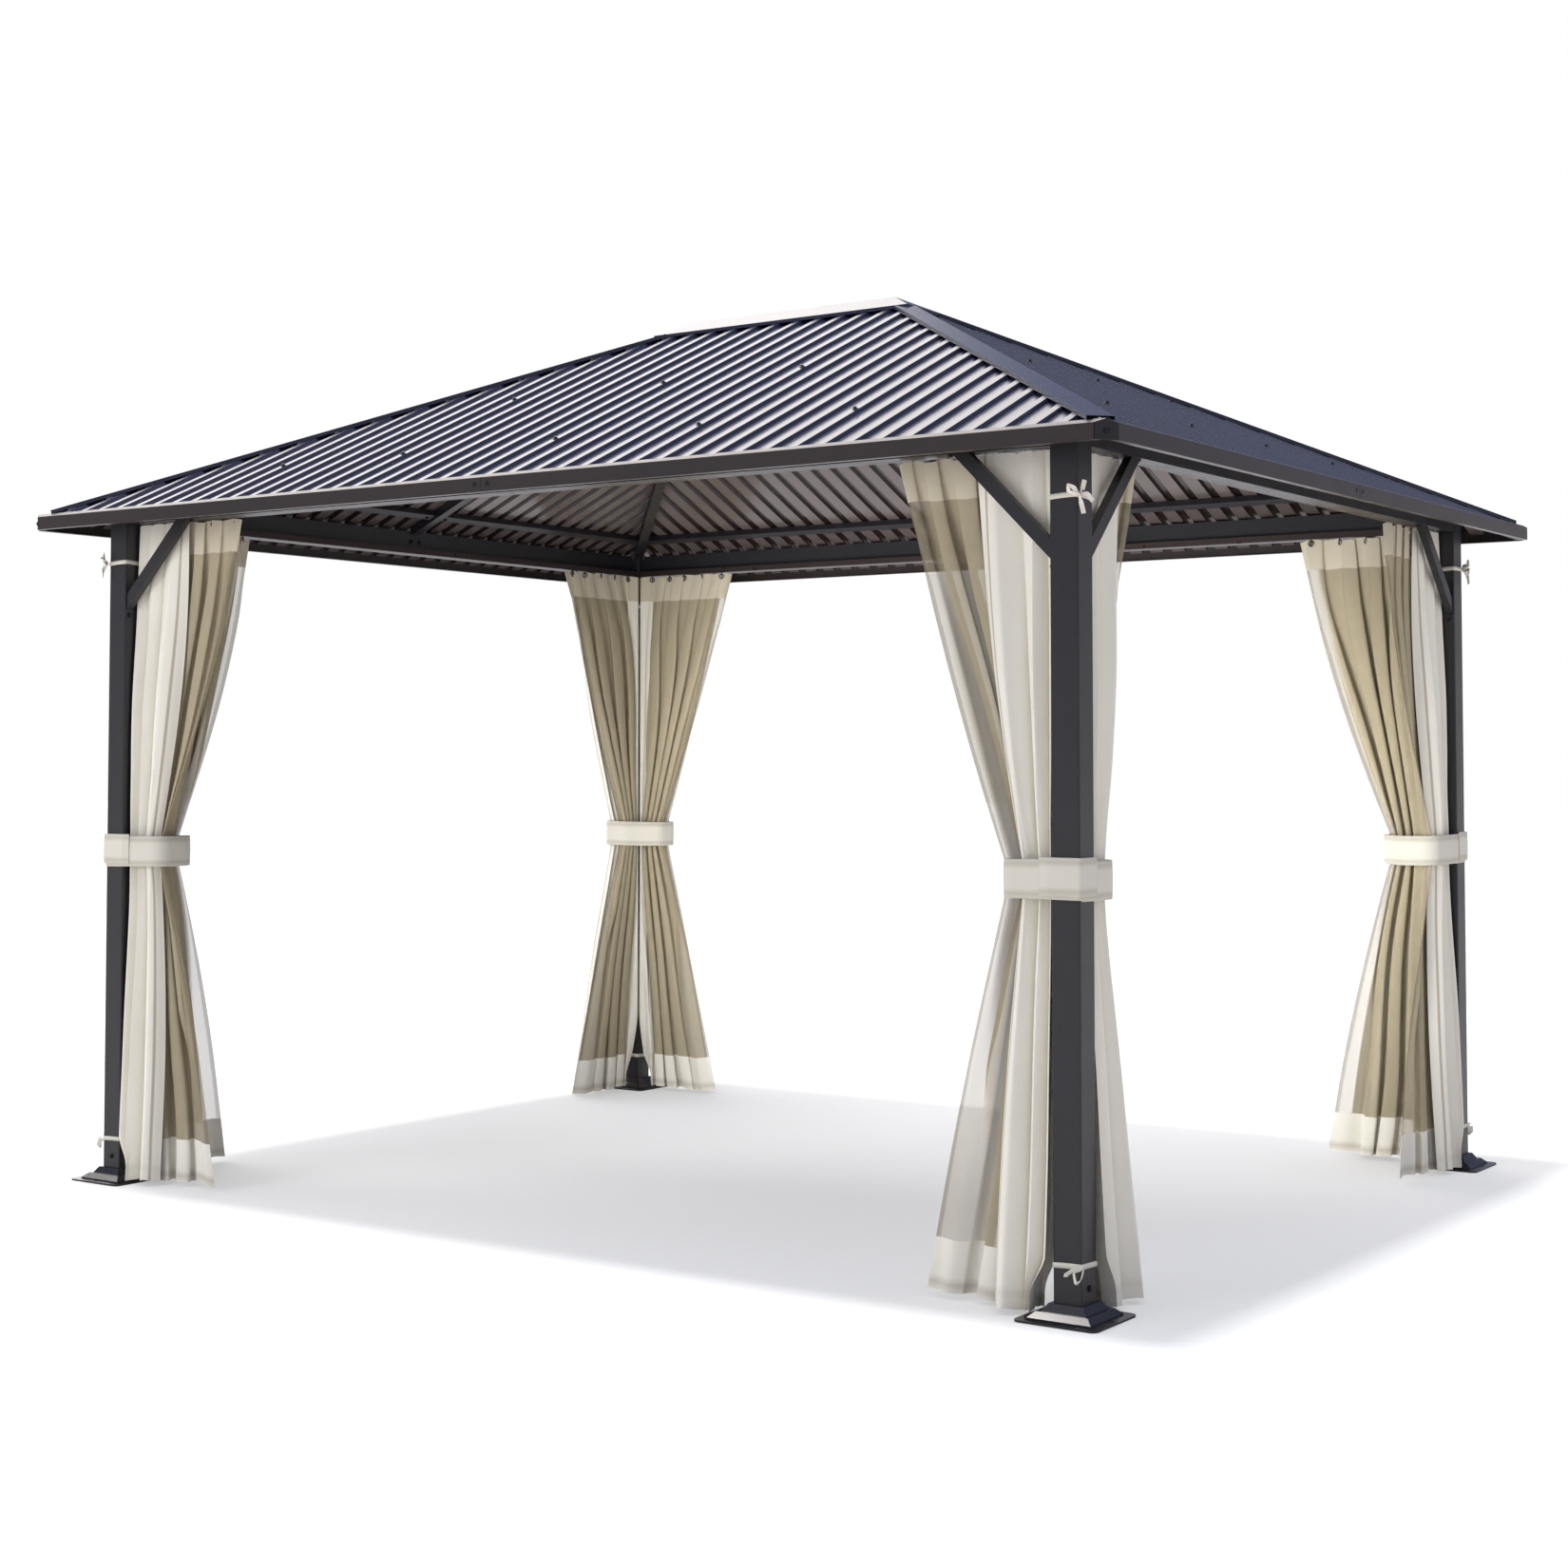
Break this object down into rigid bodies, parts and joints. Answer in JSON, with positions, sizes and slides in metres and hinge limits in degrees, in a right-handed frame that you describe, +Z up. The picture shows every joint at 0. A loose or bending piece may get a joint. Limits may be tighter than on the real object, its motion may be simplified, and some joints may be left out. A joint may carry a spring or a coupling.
{
  "type": "metal gazebo",
  "caption": "Open-sided garden gazebo: square metal posts on bolted foot plates carry a hipped roof of ribbed steel sheets, with tied-back fabric curtains on rails.",
  "frame": {"origin": "on the ground at the middle of the gazebo's plan", "axes": "+X along the long eave to the right, +Y from the front to the back, +Z up"},
  "size_m": [3.62, 2.91, 2.65],
  "materials": {
    "frame_paint": "satin dark grey powder coat",
    "roof_steel": "semi-gloss dark blue-grey baked paint on galvanised steel",
    "curtain_fabric": "plain woven polyester, ivory, with khaki netting panels"
  },
  "bodies": {
    "root": {"back_beam": "frame_paint", "back_fascia": "frame_paint", "back_left_hip_cap": "roof_steel", "back_left_hip_rafter": "frame_paint", "back_left_long_curtain": "curtain_fabric", "back_left_post": "frame_paint", "back_left_short_curtain": "curtain_fabric", "back_right_hip_cap": "roof_steel", "back_right_hip_rafter": "frame_paint", "back_right_long_curtain": "curtain_fabric", "back_right_post": "frame_paint", "back_right_short_curtain": "curtain_fabric", "back_roof_sheet": "roof_steel", "corner_caps": "roof_steel", "curtain_rails": "frame_paint", "foot_covers": "frame_paint", "foot_plates": "frame_paint", "front_beam": "frame_paint", "front_fascia": "frame_paint", "front_left_hip_cap": "roof_steel", "front_left_hip_rafter": "frame_paint", "front_left_long_curtain": "curtain_fabric", "front_left_post": "frame_paint", "front_left_short_curtain": "curtain_fabric", "front_right_hip_cap": "roof_steel", "front_right_hip_rafter": "frame_paint", "front_right_long_curtain": "curtain_fabric", "front_right_post": "frame_paint", "front_right_short_curtain": "curtain_fabric", "front_roof_sheet": "roof_steel", "knee_braces": "frame_paint", "left_beam": "frame_paint", "left_fascia": "frame_paint", "left_roof_sheet": "roof_steel", "lower_purlins": "frame_paint", "middle_rafters": "frame_paint", "post_heads": "frame_paint", "ridge_beam": "frame_paint", "ridge_cap": "roof_steel", "right_beam": "frame_paint", "right_fascia": "frame_paint", "right_roof_sheet": "roof_steel", "tie_bands": "curtain_fabric", "upper_purlins": "frame_paint"}
  },
  "joints": []
}
